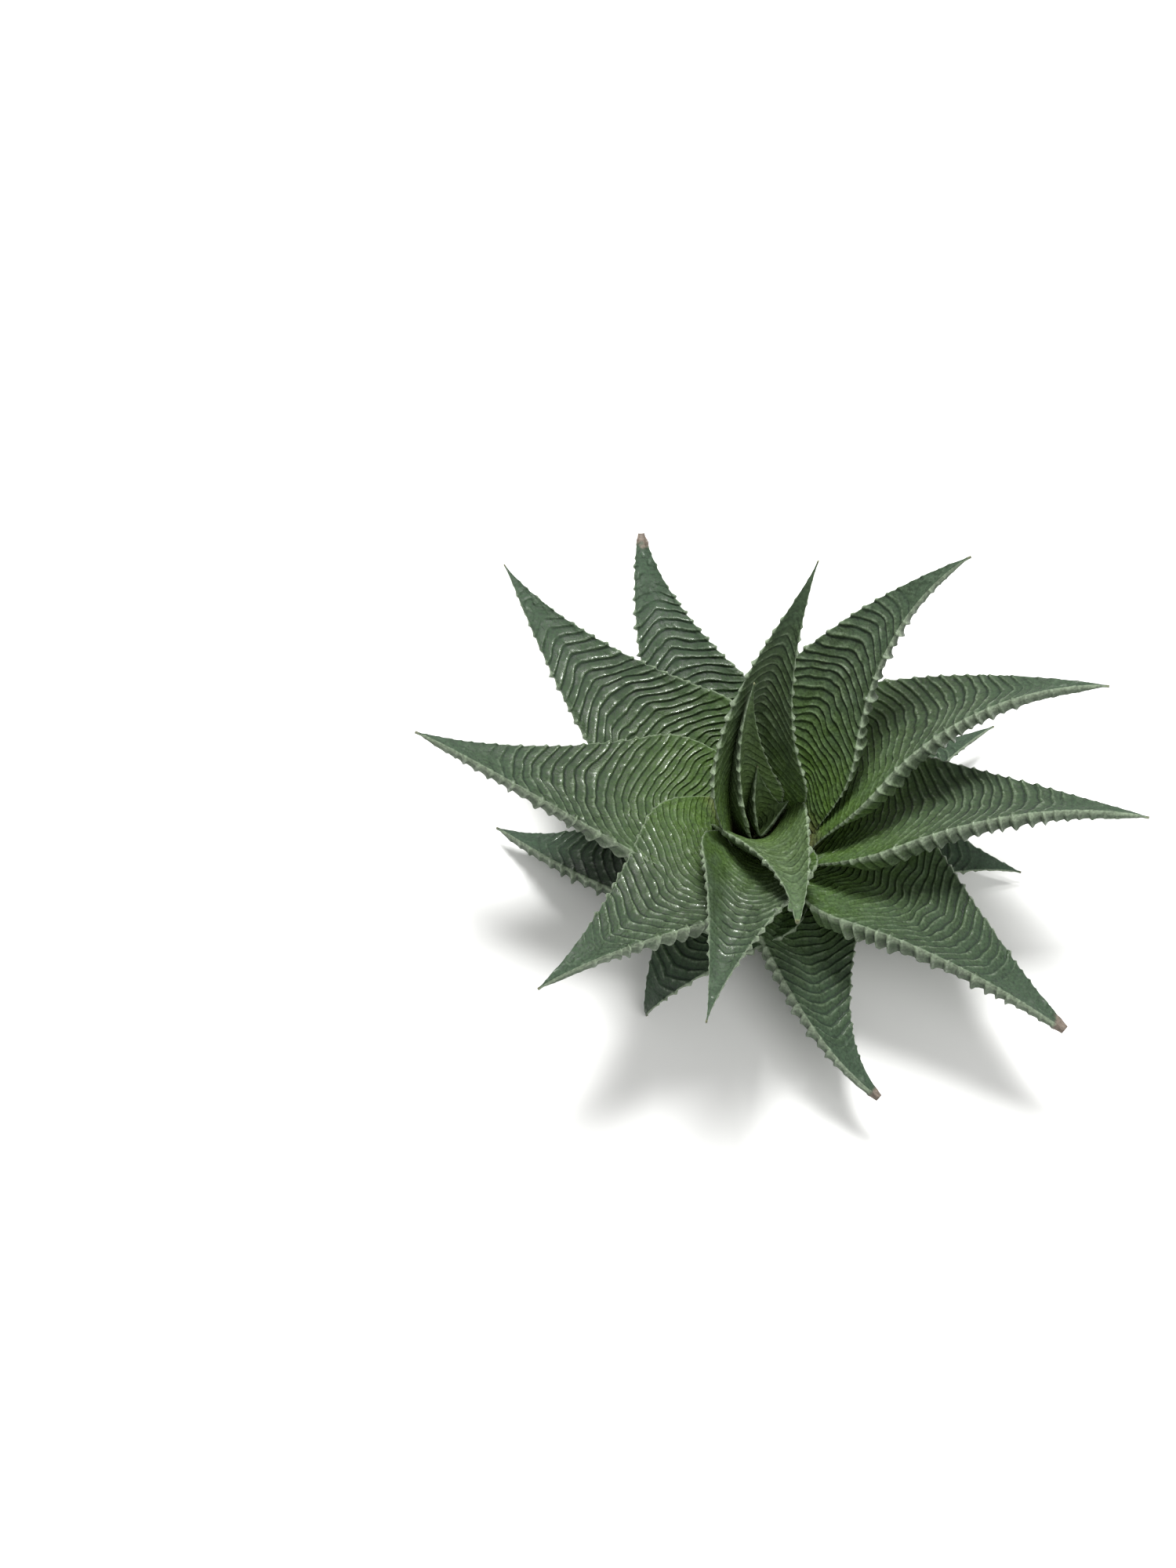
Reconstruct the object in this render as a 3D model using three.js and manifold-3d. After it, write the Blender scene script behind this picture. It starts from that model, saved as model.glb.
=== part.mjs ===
// A ridged aloe rosette, lifted from its soil: twenty leaves in two spiral arms round a short stem.
// Millimetres, +Z up along the stem, with the origin in the middle of the stem's flat cut face.
import * as THREE from "three";
import { mergeVertices } from "three/addons/utils/BufferGeometryUtils.js";
import Module from "manifold-3d";

const wasm = await Module();
wasm.setup();

// Driving dimensions of the stem
const STUMP_RADIUS = 7;
const STUMP_HEIGHT = 3.4;
const STUMP_CHAMFER = 0.5;
const STUMP_CHAMFER_HEIGHT = 0.8;
const STUMP_FLARE_RATE = 12;
const STEM_RADIUS = 4.4;
const STEM_TIP_RADIUS = 2.4;
const STEM_HEIGHT = 20;
const STEM_TAPER_POWER = 3;
const SCAR_PITCH = 3.2;
const SCAR_DEPTH = 0.35;
const STEM_SIDES = 16;

// Root stubs round the stump: their length varies, and they stand at slightly uneven turns
const ROOT_STUBS = 7;
const ROOT_STUB_LENGTH = [4.5, 7.5];
const ROOT_STUB_RADIUS = 1.3;
const ROOT_STUB_TAPER = 0.6;
const ROOT_STUB_SIDES = 6;
const ROOT_STUB_SINK = 3;
const ROOT_STUB_LIFT = 0.4;
const ROOT_STUB_SWAY = 0.35;

// Where the leaves sit: each younger leaf a step higher, and closer to the axis near the top.
// The stem leans towards -X as it rises, and the crown with it.
const CROWN_LEAN = -2.4;
const LOWEST_SEAT = 5;
const SEAT_STEP = 0.82;
const SEAT_RADIUS = 4;
const TOP_SEAT_RADIUS = 1.6;
const SEAT_RADIUS_STEP = 0.55;

// The shape that all leaves share
const LEAF_THICKNESS = 4.2;
const THICKNESS_LOSS = 0.88;
const THICKNESS_POWER = 1.2;
const THICKNESS_LIMIT = 1.1;
const MARGIN_HALF_THICKNESS = 0.4;
const WIDEST_AT = 0.36;
const BASE_SHARE = 0.45;
const TAPER = 1.3;
const BLUNT_SHARE = 0.93;
const CHANNEL = [0.45, 0.18, 0.25];
const CHANNEL_POWER = 1.8;
const BELLY_POWER = 2.2;
const KEEL_POWER = 1.6;
const TIP_HALF_WIDTH = 0.4;

// Ridges across both faces, which end as teeth at the margins
const RIDGE_PITCH = 4.5;
const RIDGE_HEIGHT = 0.55;
const TOOTH = 0.7;
const RIDGE_FULL_HALF_WIDTH = 9;
const FEWEST_RIDGES = 6;

// Clearance between pieces that touch
const GAP = 0.32;

// Grid of a leaf: stations across one face, and steps along its centre line. On the underside of a
// keeled leaf the station next to the keel's margin lies on the keel.
const ACROSS = [-1, -0.5, 0, 0.5, 1];
const CENTRE_STEPS = 60;

// The leaves, youngest first. Angles in degrees are given at the base, the middle and the tip:
// heading is the compass direction seen from above (0 is +X, 90 is +Y), pitch the rise over the
// horizontal, and roll (base and tip) lifts the leaf's left margin. channel is the hollow of the
// upper face as a share of the half width, base the width at the foot as a share of what the taper
// would give, keel the place where the underside is deepest, from -1
// at the right margin to 1 at the left, and seat the foot of a leaf that clasps the crown.
const LEAVES = [
  {
    heading: [10, 18, 30], pitch: [62, 52, 40], roll: [0, 0], length: 11, width: 6, thick: 1.6,
    channel: [0.5, 0.45, 0.3], seat: [-4, -0.5],
  },
  {
    heading: [110, 100, 90], pitch: [84, 78, 76], roll: [35, 25], length: 20, width: 7, thick: 2,
    channel: [1.1, 0.9, 0.6], seat: [-3.8, 0.5],
  },
  {
    heading: [100, 88, 66], pitch: [84, 72, 66], roll: [48, 30], length: 43, width: 10, thick: 3,
    channel: [1.2, 1, 0.6], seat: [-7, 0.5],
  },
  {
    heading: [290, 286, 265], pitch: [74, 44, 14], roll: [0, 0], length: 45, width: 15, thick: 3.2,
    channel: [0.8, 0.5, 0.3], base: 0.65, seat: [-3.5, -3], blunt: true,
  },
  {
    heading: [90, 60, 60], pitch: [76, 62, 50], roll: [48, 5], length: 70, width: 18, thick: 4,
    channel: [1.1, 0.95, 0.3], seat: [-8.2, 1.5],
  },
  {
    heading: [262, 254, 257], pitch: [58, 32, 2], roll: [0, 0], length: 63, width: 22,
    channel: [0.6, 0.4, 0.25], base: 0.2, seat: [-2.6, -4],
  },
  {
    heading: [65, 47, 16], pitch: [62, 42, 29], roll: [0, -12], length: 74, width: 24,
    keel: -0.92, seat: [-0.6, 2.8],
  },
  {
    heading: [229, 223, 216], pitch: [52, 22, -8], roll: [0, 22], length: 68, width: 31, thick: 4.8,
    keel: 0.92,
  },
  {
    heading: [42, 14, -7], pitch: [50, 26, 8], roll: [-10, -36], length: 77, width: 27, thick: 4.8,
    keel: -0.92,
  },
  {
    heading: [182, 171, 160], pitch: [43, 20, 8], roll: [0, 28], length: 76, width: 30, thick: 4.8,
    keel: 0.92,
  },
  {
    heading: [3, -4, -15], pitch: [40, 18, 5], roll: [-10, -42], length: 76, width: 27, thick: 4.8,
    keel: -0.92,
  },
  { heading: [149, 138, 121], pitch: [38, 18, 10], roll: [0, 0], length: 77, width: 30 },
  {
    heading: [330, 319, 320], pitch: [32, 8, -6], roll: [-10, -38], length: 71, width: 29, thick: 4.8,
    base: 0.25, keel: -0.92, blunt: true,
  },
  { heading: [118, 117, 93], pitch: [32, 14, 10], roll: [0, 0], length: 68, width: 24, blunt: true },
  {
    heading: [289, 283, 320], pitch: [25, 0, -14], roll: [-10, -35], length: 57, width: 20,
    base: 0.3, keel: -0.92, blunt: true,
  },
  { heading: [70, 70, 70], pitch: [20, -8, -24], roll: [0, 0], length: 52, width: 22 },
  { heading: [240, 229, 228], pitch: [20, 0, -92], roll: [0, 25], length: 47, width: 28 },
  { heading: [31, 33, 33], pitch: [15, -3, -14], roll: [0, -25], length: 52, width: 17 },
  {
    heading: [190, 173, 146], pitch: [18, -5, -14], roll: [0, 32], length: 56, width: 28, thick: 4.8,
    keel: 0.92,
  },
  { heading: [6, -4, -12], pitch: [14, -4, -14], roll: [0, -6], length: 48, width: 22 },
];

// Colours and finishes
const LEAF_YOUNG = new THREE.Color("#5f8a4c");
const LEAF_OLD = new THREE.Color("#33523a");
const LEAF_ROUGHNESS = 0.5;
const STEM_COLOUR = "#8a6a48";
const STEM_ROUGHNESS = 0.9;

const radians = THREE.MathUtils.degToRad;
const lerp = THREE.MathUtils.lerp;

// A value that passes through three given ones at the base, the middle and the tip.
function through([base, middle, tip], u) {
  return base * (1 - u) * (1 - 2 * u) + 4 * middle * u * (1 - u) + tip * u * (2 * u - 1);
}

function direction(leaf, u) {
  const pitch = radians(through(leaf.pitch, u));
  const heading = radians(through(leaf.heading, u));
  return new THREE.Vector3(
    Math.cos(pitch) * Math.cos(heading),
    Math.cos(pitch) * Math.sin(heading),
    Math.sin(pitch),
  );
}

// How far the stem's axis has leaned at a height.
function leanAt(height) {
  const share = (height - LOWEST_SEAT) / (SEAT_STEP * (LEAVES.length - 1));
  return CROWN_LEAN * Math.max(0, share) ** 2;
}

function seatOf(leaf, index) {
  const height = LOWEST_SEAT + SEAT_STEP * (LEAVES.length - 1 - index);
  if (leaf.seat) return new THREE.Vector3(...leaf.seat, height);
  const radius = Math.min(SEAT_RADIUS, TOP_SEAT_RADIUS + SEAT_RADIUS_STEP * index);
  const azimuth = radians(leaf.heading[0]);
  return new THREE.Vector3(leanAt(height) + radius * Math.cos(azimuth), radius * Math.sin(azimuth), height);
}

// Points at even steps along the leaf's centre line, from its seat on the stem to its tip.
function centreLine(leaf, index) {
  const points = [seatOf(leaf, index)];
  const step = leaf.length / CENTRE_STEPS;
  for (let i = 0; i < CENTRE_STEPS; i++) {
    const middle = (i + 0.5) / CENTRE_STEPS;
    points.push(points[i].clone().addScaledVector(direction(leaf, middle), step));
  }
  return points;
}

function pointAt(line, u) {
  const place = THREE.MathUtils.clamp(u, 0, 1) * CENTRE_STEPS;
  const i = Math.min(Math.floor(place), CENTRE_STEPS - 1);
  return line[i].clone().lerp(line[i + 1], place - i);
}

// The leaf's own side and face directions at a station, after its roll.
function frameAt(leaf, u) {
  const along = direction(leaf, u);
  const heading = radians(through(leaf.heading, u));
  const side = new THREE.Vector3(-Math.sin(heading), Math.cos(heading), 0);
  const face = along.clone().cross(side);
  const roll = radians(lerp(leaf.roll[0], leaf.roll[1], u));
  return {
    side: side.clone().multiplyScalar(Math.cos(roll)).addScaledVector(face, Math.sin(roll)),
    face: face.clone().multiplyScalar(Math.cos(roll)).addScaledVector(side, -Math.sin(roll)),
  };
}

function halfWidth(leaf, u) {
  const rise = THREE.MathUtils.smoothstep(u, 0, WIDEST_AT);
  const end = leaf.blunt ? BLUNT_SHARE : 1;
  const share = lerp(leaf.base ?? BASE_SHARE, 1, rise) * ((1 - end * u) / (1 - WIDEST_AT)) ** TAPER;
  return Math.max((leaf.width / 2) * share, TIP_HALF_WIDTH);
}

// The underside's depth at a place across, as a share of its depth at the keel.
function bellyShare(v, keel) {
  const reach = v > keel ? 1 - keel : 1 + keel;
  const outside = keel * (v - keel) > 0;
  return 1 - (Math.abs(v - keel) / reach) ** (outside ? KEEL_POWER : BELLY_POWER);
}

// The underside's stations across: the one nearest to the keel moves on to it.
function underStations(keel) {
  if (!keel) return ACROSS;
  return ACROSS.map((v) => (v === Math.sign(keel) * 0.5 ? keel : v));
}

// One closed loop round the leaf: across the upper face, then back across the lower face.
// crest is 1 on a ridge and 0 in a groove, and grow swells the loop on every side.
function loopAt(leaf, line, u, crest, grow) {
  const { side, face } = frameAt(leaf, u);
  const half = halfWidth(leaf, u);
  const channel = through(leaf.channel ?? CHANNEL, u) * half;
  const keel = leaf.keel ?? 0;
  const relief = crest * Math.min(1, half / RIDGE_FULL_HALF_WIDTH);
  const thickness = (leaf.thick ?? LEAF_THICKNESS) * (1 - THICKNESS_LOSS * u ** THICKNESS_POWER);
  const belly = Math.min(thickness, THICKNESS_LIMIT * half);
  const reach = half + TOOTH * relief + grow;
  const skin = MARGIN_HALF_THICKNESS + RIDGE_HEIGHT * relief;
  const centre = pointAt(line, u);
  const hollow = (v) => channel * ((Math.abs(v) * reach) / half) ** CHANNEL_POWER;
  const slope = (v) => (CHANNEL_POWER * channel * Math.abs(v) ** (CHANNEL_POWER - 1)) / half;
  const halfSkin = (v) => skin + grow * Math.hypot(1, slope(v));
  const place = (v, height) =>
    centre.clone().addScaledVector(side, reach * v).addScaledVector(face, hollow(v) + height);
  const upper = ACROSS.map((v) => place(v, halfSkin(v)));
  const lower = underStations(keel).map((v) => place(v, -halfSkin(v) - belly * bellyShare(v, keel)));
  return [...upper, ...lower.reverse()];
}

// Skins a row of loops, with both faces split along the same diagonals, and closes its two ends.
function skinOf(loops) {
  const around = loops[0].length;
  const across = around / 2;
  const positions = loops.flat().flatMap((p) => p.toArray());
  const index = [];
  const quad = (a, b, c, d, flip) => {
    if (flip) index.push(a, b, d, b, c, d);
    else index.push(a, b, c, a, c, d);
  };
  for (let row = 0; row < loops.length - 1; row++) {
    for (let k = 0; k < around; k++) {
      const next = (k + 1) % around;
      const here = row * around;
      const there = here + around;
      quad(here + k, there + k, there + next, here + next, k >= across);
    }
  }
  const last = (loops.length - 1) * around;
  for (let k = 0; k < across - 1; k++) {
    const opposite = around - 1 - k;
    quad(k, k + 1, opposite - 1, opposite, false);
    quad(last + opposite, last + opposite - 1, last + k + 1, last + k, false);
  }
  const geometry = new THREE.BufferGeometry();
  geometry.setAttribute("position", new THREE.Float32BufferAttribute(positions, 3));
  geometry.setIndex(index);
  return geometry;
}

function rowsOf(leaf) {
  return 2 * Math.max(FEWEST_RIDGES, Math.round(leaf.length / RIDGE_PITCH));
}

// A leaf with its ridges: a groove, a crest, a groove and so on from the base to the tip.
function ridgedLeaf(leaf, line) {
  const rows = rowsOf(leaf);
  const loops = [];
  for (let row = 0; row <= rows; row++) loops.push(loopAt(leaf, line, row / rows, row % 2, 0));
  return skinOf(loops);
}

// The space that a leaf takes from its older neighbours: its crests, swollen by the gap.
function leafRoom(leaf, line) {
  const rows = rowsOf(leaf);
  const stations = [0];
  for (let row = 1; row < rows; row += 2) stations.push(row / rows);
  stations.push(1);
  return skinOf(stations.map((u) => loopAt(leaf, line, u, 1, GAP)));
}

function solidOf(geometry) {
  const bare = geometry.clone();
  bare.deleteAttribute("normal");
  bare.deleteAttribute("uv");
  const merged = mergeVertices(bare);
  const mesh = new wasm.Mesh({
    numProp: 3,
    vertProperties: new Float32Array(merged.attributes.position.array),
    triVerts: new Uint32Array(merged.index.array),
  });
  mesh.merge();
  return new wasm.Manifold(mesh);
}

function geometryOf(solid) {
  const mesh = solid.getMesh();
  const geometry = new THREE.BufferGeometry();
  geometry.setAttribute("position", new THREE.BufferAttribute(new Float32Array(mesh.vertProperties), 3));
  geometry.setIndex(new THREE.BufferAttribute(new Uint32Array(mesh.triVerts), 1));
  const faceted = geometry.toNonIndexed();
  faceted.computeVertexNormals();
  return faceted;
}

function largestBody(solid) {
  const bodies = solid.decompose();
  return bodies.reduce((best, body) => (body.volume() > best.volume() ? body : best));
}

// The stem's outline from the cut face up, ringed with the scars of leaves that were shed.
function stemOutline(grow) {
  const outline = [
    new THREE.Vector2(0, -grow),
    new THREE.Vector2(STUMP_RADIUS - STUMP_CHAMFER + grow, -grow),
    new THREE.Vector2(STUMP_RADIUS + grow, STUMP_CHAMFER_HEIGHT),
  ];
  const scars = Math.round((STEM_HEIGHT - STUMP_HEIGHT) / SCAR_PITCH);
  for (let i = 0; i <= 2 * scars; i++) {
    const share = i / (2 * scars);
    const flare = (STUMP_RADIUS - STEM_RADIUS) * Math.exp(-share * STUMP_FLARE_RATE);
    const lean = lerp(STEM_RADIUS, STEM_TIP_RADIUS, share ** STEM_TAPER_POWER);
    const ring = i % 2 ? -SCAR_DEPTH : 0;
    const height = lerp(STUMP_HEIGHT, STEM_HEIGHT, share);
    outline.push(new THREE.Vector2(lean + flare + ring + grow, height));
  }
  outline.push(new THREE.Vector2(0, STEM_HEIGHT + grow));
  return outline;
}

// A root cut short: a tapering peg that leaves the stump's side level, just above its cut face.
function rootStub(turn, grow) {
  const azimuth = (turn / ROOT_STUBS) * 2 * Math.PI + ROOT_STUB_SWAY * Math.sin(5 * turn);
  const length = lerp(...ROOT_STUB_LENGTH, (1 + Math.cos(3 * turn)) / 2);
  const tip = ROOT_STUB_RADIUS * ROOT_STUB_TAPER + grow;
  const peg = new THREE.CylinderGeometry(tip, ROOT_STUB_RADIUS + grow, length + grow, ROOT_STUB_SIDES);
  peg.translate(0, (length + grow) / 2, 0);
  peg.rotateZ(-Math.PI / 2);
  peg.translate(STUMP_RADIUS - ROOT_STUB_SINK, 0, ROOT_STUB_RADIUS + ROOT_STUB_LIFT);
  peg.rotateZ(azimuth);
  return peg;
}

// The stem with its root stubs, swollen by grow on every side.
function stemSolid(grow) {
  const core = new THREE.LatheGeometry(stemOutline(grow), STEM_SIDES).rotateX(Math.PI / 2);
  const places = core.attributes.position;
  for (let i = 0; i < places.count; i++) places.setX(i, places.getX(i) + leanAt(places.getZ(i)));
  let solid = solidOf(core);
  for (let turn = 0; turn < ROOT_STUBS; turn++) solid = solid.add(solidOf(rootStub(turn, grow)));
  return solid;
}

function meshOf(name, geometry, colour, roughness) {
  const material = new THREE.MeshStandardMaterial({ color: colour, roughness, metalness: 0 });
  const mesh = new THREE.Mesh(geometry, material);
  mesh.name = name;
  return mesh;
}

// Each older leaf gives way to the stem and to every younger leaf that lies over its base.
function buildLeaves() {
  const taken = [stemSolid(GAP)];
  return LEAVES.map((leaf, index) => {
    const line = centreLine(leaf, index);
    let solid = solidOf(ridgedLeaf(leaf, line));
    for (const room of taken) solid = solid.subtract(room);
    taken.push(solidOf(leafRoom(leaf, line)));
    const age = index / (LEAVES.length - 1);
    const colour = LEAF_YOUNG.clone().lerp(LEAF_OLD, age);
    const name = "leaf_" + String(index + 1).padStart(2, "0");
    return meshOf(name, geometryOf(largestBody(solid)), colour, LEAF_ROUGHNESS);
  });
}

const rosette = new THREE.Group();
rosette.add(meshOf("stem", geometryOf(stemSolid(0)), STEM_COLOUR, STEM_ROUGHNESS));
rosette.add(...buildLeaves());

export default rosette;
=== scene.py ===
"""The looks of a ridged aloe rosette: twenty toothed leaves with cross ridges round a short cut stem."""

import logging
import math
from dataclasses import dataclass
from enum import Enum

import bpy
import numpy as np
from mathutils import Matrix, Vector


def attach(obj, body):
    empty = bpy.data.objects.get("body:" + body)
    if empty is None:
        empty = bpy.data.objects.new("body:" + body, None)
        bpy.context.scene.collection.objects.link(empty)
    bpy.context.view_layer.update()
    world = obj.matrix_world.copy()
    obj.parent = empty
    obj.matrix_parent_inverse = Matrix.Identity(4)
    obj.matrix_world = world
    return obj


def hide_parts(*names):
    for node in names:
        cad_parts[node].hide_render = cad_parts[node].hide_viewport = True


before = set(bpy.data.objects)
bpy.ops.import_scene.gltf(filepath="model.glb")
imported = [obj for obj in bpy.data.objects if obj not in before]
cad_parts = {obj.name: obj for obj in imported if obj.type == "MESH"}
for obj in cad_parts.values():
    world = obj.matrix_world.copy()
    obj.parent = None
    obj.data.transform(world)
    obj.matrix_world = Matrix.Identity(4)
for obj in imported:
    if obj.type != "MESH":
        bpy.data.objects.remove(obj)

LOG = logging.getLogger("rosette")
MM = 0.001
ROOT_BODY = "root"

Triple = tuple[float, float, float]
Pair = tuple[float, float]


class Tip(Enum):
    """How a leaf ends."""

    POINTED = "pointed"
    DRIED = "dried"
    FORKED = "forked"


def linear(code: str) -> tuple[float, float, float, float]:
    """Turns an sRGB hex colour into the linear RGBA that a shader reads.

    Args:
        code: the colour as "#rrggbb".

    Returns:
        Linear red, green, blue and an alpha of 1.
    """
    shares = [int(code[i : i + 2], 16) / 255 for i in (1, 3, 5)]
    red, green, blue = (s / 12.92 if s <= 0.04045 else ((s + 0.055) / 1.055) ** 2.4 for s in shares)
    return red, green, blue, 1.0


class Pattern(Enum):
    """The random patterns of a leaf's skin. The value is added to the leaf's own seed."""

    WAVES = 1
    RIPPLES = 2
    BEADS = 3
    WARTS = 4


def smoothstep(low: float, high: float, value: np.ndarray) -> np.ndarray:
    """Eases from 0 at low to 1 at high."""
    share = np.clip((value - low) / (high - low), 0.0, 1.0)
    return share * share * (3.0 - 2.0 * share)


def through(values: Triple, u: np.ndarray) -> np.ndarray:
    """Runs through three values at the base, the middle and the tip.

    Args:
        values: the value at u of 0, a half and 1.
        u: shares of the leaf's length.

    Returns:
        The value at each share.
    """
    base, middle, tip = values
    return base * (1 - u) * (1 - 2 * u) + 4 * middle * u * (1 - u) + tip * u * (2 * u - 1)


class SmoothNoise:
    """Repeatable smooth noise over a plane, from a seeded lattice of values between -1 and 1."""

    CELLS = 64

    def __init__(self, seed: int) -> None:
        """Draws the lattice.

        Args:
            seed: the seed of the random draw.
        """
        self.lattice = np.random.default_rng(seed).uniform(-1.0, 1.0, (self.CELLS, self.CELLS))

    def __call__(self, x: np.ndarray, y: np.ndarray) -> np.ndarray:
        """Reads the noise.

        Args:
            x: places along the lattice's rows, in cells.
            y: places along its columns, in cells.

        Returns:
            The noise at each place.
        """
        x, y = np.broadcast_arrays(x, y)
        column, row = np.floor(x).astype(int), np.floor(y).astype(int)
        across, up = x - column, y - row
        across, up = across * across * (3 - 2 * across), up * up * (3 - 2 * up)
        left, right = column % self.CELLS, (column + 1) % self.CELLS
        low, high = row % self.CELLS, (row + 1) % self.CELLS
        below = self.lattice[left, low] * (1 - across) + self.lattice[right, low] * across
        above = self.lattice[left, high] * (1 - across) + self.lattice[right, high] * across
        return below * (1 - up) + above * up


def add_node(
    tree: bpy.types.NodeTree, kind: str, inputs: dict | None = None, **settings: str
) -> bpy.types.Node:
    """Adds a shader node with its settings, values and links.

    Args:
        tree: the node tree.
        kind: the node's type name.
        inputs: a value or an output socket for each input, by the input's name or number.
        **settings: the node's own settings.

    Returns:
        The new node.
    """
    node = tree.nodes.new(kind)
    for name, value in settings.items():
        setattr(node, name, value)
    for name, value in (inputs or {}).items():
        if isinstance(value, bpy.types.NodeSocket):
            tree.links.new(value, node.inputs[name])
        else:
            node.inputs[name].default_value = value
    return node


def new_material(name: str) -> tuple[bpy.types.Material, bpy.types.NodeTree, bpy.types.Node]:
    """Starts a material.

    Args:
        name: the real material's name.

    Returns:
        The material, its node tree and its shader.
    """
    material = bpy.data.materials.new(name)
    material.use_nodes = True
    tree = material.node_tree
    tree.nodes.clear()
    shader = add_node(tree, "ShaderNodeBsdfPrincipled")
    add_node(tree, "ShaderNodeOutputMaterial", {"Surface": shader.outputs["BSDF"]})
    return material, tree, shader


@dataclass(frozen=True)
class Fade:
    """A value that runs from least to most as its source, a property of the skin, goes from start to end."""

    source: str
    start: float
    end: float
    most: float = 1.0
    least: float = 0.0
    curve: str = "SMOOTHSTEP"


@dataclass(frozen=True)
class LeafSkin:
    """Living leaf skin: firm green flesh under a thin waxy cuticle.

    The eye sees dark, dull creases between paler crests that glint where the wax is whole, a brighter
    green foot, greyer outer halves and a pale rim. The darkness of the creases is painted shade. The paler
    ridge tops are partly wax bloom and partly a painted highlight. Older leaves are darker, partly in their
    own colour and partly by painted shade, and the youngest leaves in the crown are lighter, partly by their
    fresher green and partly by painted light. The grain of the wax is drawn a little coarser than the real
    one, so that it shows.
    """

    # Painted shade: the dark colour left in the bottoms of the creases.
    painted_crease_shade: str = "#0e1c0b"
    crest: str = "#334427"
    # Paler ridge tops: partly wax bloom, partly a painted highlight.
    rib_bloom_and_painted_highlight: str = "#68785c"
    flesh_base: str = "#486420"
    clasp: str = "#766a50"
    bloom: str = "#394a3a"
    underside: str = "#76836f"
    margin: str = "#8a9880"
    spine: str = "#7a7150"
    dried: str = "#6b6157"
    # Darker older leaves: partly their own colour, partly painted shade on the lowest leaves.
    age_and_painted_shade: str = "#243a2c"
    # Lighter youngest leaves: partly their fresher green, partly painted light in the shaded crown.
    youth_and_painted_light: str = "#68804a"
    mottle_mm: float = 3.0
    mottle_detail: float = 3.0
    grain_mm: float = 0.6
    grain_detail: float = 2.0
    roughness: float = 0.34
    wax_roughness: float = 0.12
    ior: float = 1.38
    bump: float = 0.75
    bump_mm: float = 0.22

    ATTRIBUTES = ("along", "crest", "under", "margin", "dry", "age")
    FADES = {
        # Painted shade: the sides of each ridge fade down to the dark crease colour.
        "flank": Fade("crest", 0.0, 0.35, 0.7),
        # Paler ridge tops: partly wax bloom, partly a painted highlight.
        "ridge_top_bloom_and_highlight": Fade("crest", 0.55, 0.95, 0.45),
        "foot": Fade("along", 0.55, 0.1, 0.7),
        "outer_half": Fade("along", 0.5, 1.0, 0.7),
        # Older leaves darker: partly their own colour, partly painted shade.
        "old_and_painted_shade": Fade("age", 0.35, 1.0, 0.35),
        # Youngest leaves lighter: partly their fresher green, partly painted light.
        "young_and_painted_light": Fade("age", 0.28, 0.05, 0.45),
        "pale_under": Fade("along", 0.15, 0.8, 0.5),
        "patch": Fade("mottle", 0.35, 0.75, 0.3),
        "clasp": Fade("along", 0.14, 0.0, 0.8),
        # Painted shade, darkest at the bottom of each crease.
        "crease": Fade("crest", 0.2, 0.0, 0.45),
        "rim": Fade("margin", 0.2, 1.0, 0.6),
        "spine": Fade("along", 0.985, 1.0, 0.4),
        "dried": Fade("dry", 0.2, 0.9),
        "speckle": Fade("grain", 0.3, 0.7, 1.34, 0.66, "LINEAR"),
        "dull_grain": Fade("grain", 0.3, 0.7, 0.12, -0.1, "LINEAR"),
        "dull_patch": Fade("mottle", 0.4, 0.6, 0.2),
        "dull_crease": Fade("crest", 0.9, 0.5, 0.22),
        "waxed_crest": Fade("crest", 0.7, 1.0, 0.75),
        "waxed_grain": Fade("grain", 0.48, 0.62),
    }

    def build(self) -> bpy.types.Material:
        """Makes the material, which reads the leaf's own attributes and Object coordinates.

        Returns:
            The material.
        """
        material, tree, shader = new_material("aloe_leaf_skin")
        fade = self.add_fades(tree)
        # The first colour is painted shade, which stays in the bottoms of the creases.
        colour = linear(self.painted_crease_shade)
        for name, tint in (
            ("flank", self.crest),
            # Paler ridge tops: partly wax bloom, partly a painted highlight.
            ("ridge_top_bloom_and_highlight", self.rib_bloom_and_painted_highlight),
            ("foot", self.flesh_base),
            ("outer_half", self.bloom),
            # Older leaves darker: partly their own colour, partly painted shade.
            ("old_and_painted_shade", self.age_and_painted_shade),
            # Youngest leaves lighter: partly their fresher green, partly painted light.
            ("young_and_painted_light", self.youth_and_painted_light),
            ("pale_under", self.underside),
            ("patch", self.bloom),
            ("clasp", self.clasp),
            # More painted shade in the creases.
            ("crease", self.painted_crease_shade),
            ("rim", self.margin),
            ("spine", self.spine),
            ("dried", self.dried),
        ):
            layer = {0: fade[name], 6: colour, 7: linear(tint)}
            colour = add_node(tree, "ShaderNodeMix", layer, data_type="RGBA").outputs[2]
        layer = {0: 1.0, 6: colour, 7: fade["speckle"]}
        colour = add_node(tree, "ShaderNodeMix", layer, data_type="RGBA", blend_type="MULTIPLY").outputs[2]
        tree.links.new(colour, shader.inputs["Base Color"])

        rough = self.roughness
        for name in ("dull_grain", "dull_patch", "dull_crease"):
            rough = add_node(tree, "ShaderNodeMath", {0: fade[name], 1: rough}, operation="ADD").outputs[0]
        tree.links.new(rough, shader.inputs["Roughness"])
        glints = {0: fade["waxed_crest"], 1: fade["waxed_grain"]}
        wax = add_node(tree, "ShaderNodeMath", glints, operation="MULTIPLY").outputs[0]
        tree.links.new(wax, shader.inputs["Coat Weight"])
        shader.inputs["Coat Roughness"].default_value = self.wax_roughness
        shader.inputs["IOR"].default_value = self.ior
        relief = {"Height": fade["grain"], "Strength": self.bump, "Distance": self.bump_mm * MM}
        bump = add_node(tree, "ShaderNodeBump", relief).outputs["Normal"]
        tree.links.new(bump, shader.inputs["Normal"])
        return material

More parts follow.
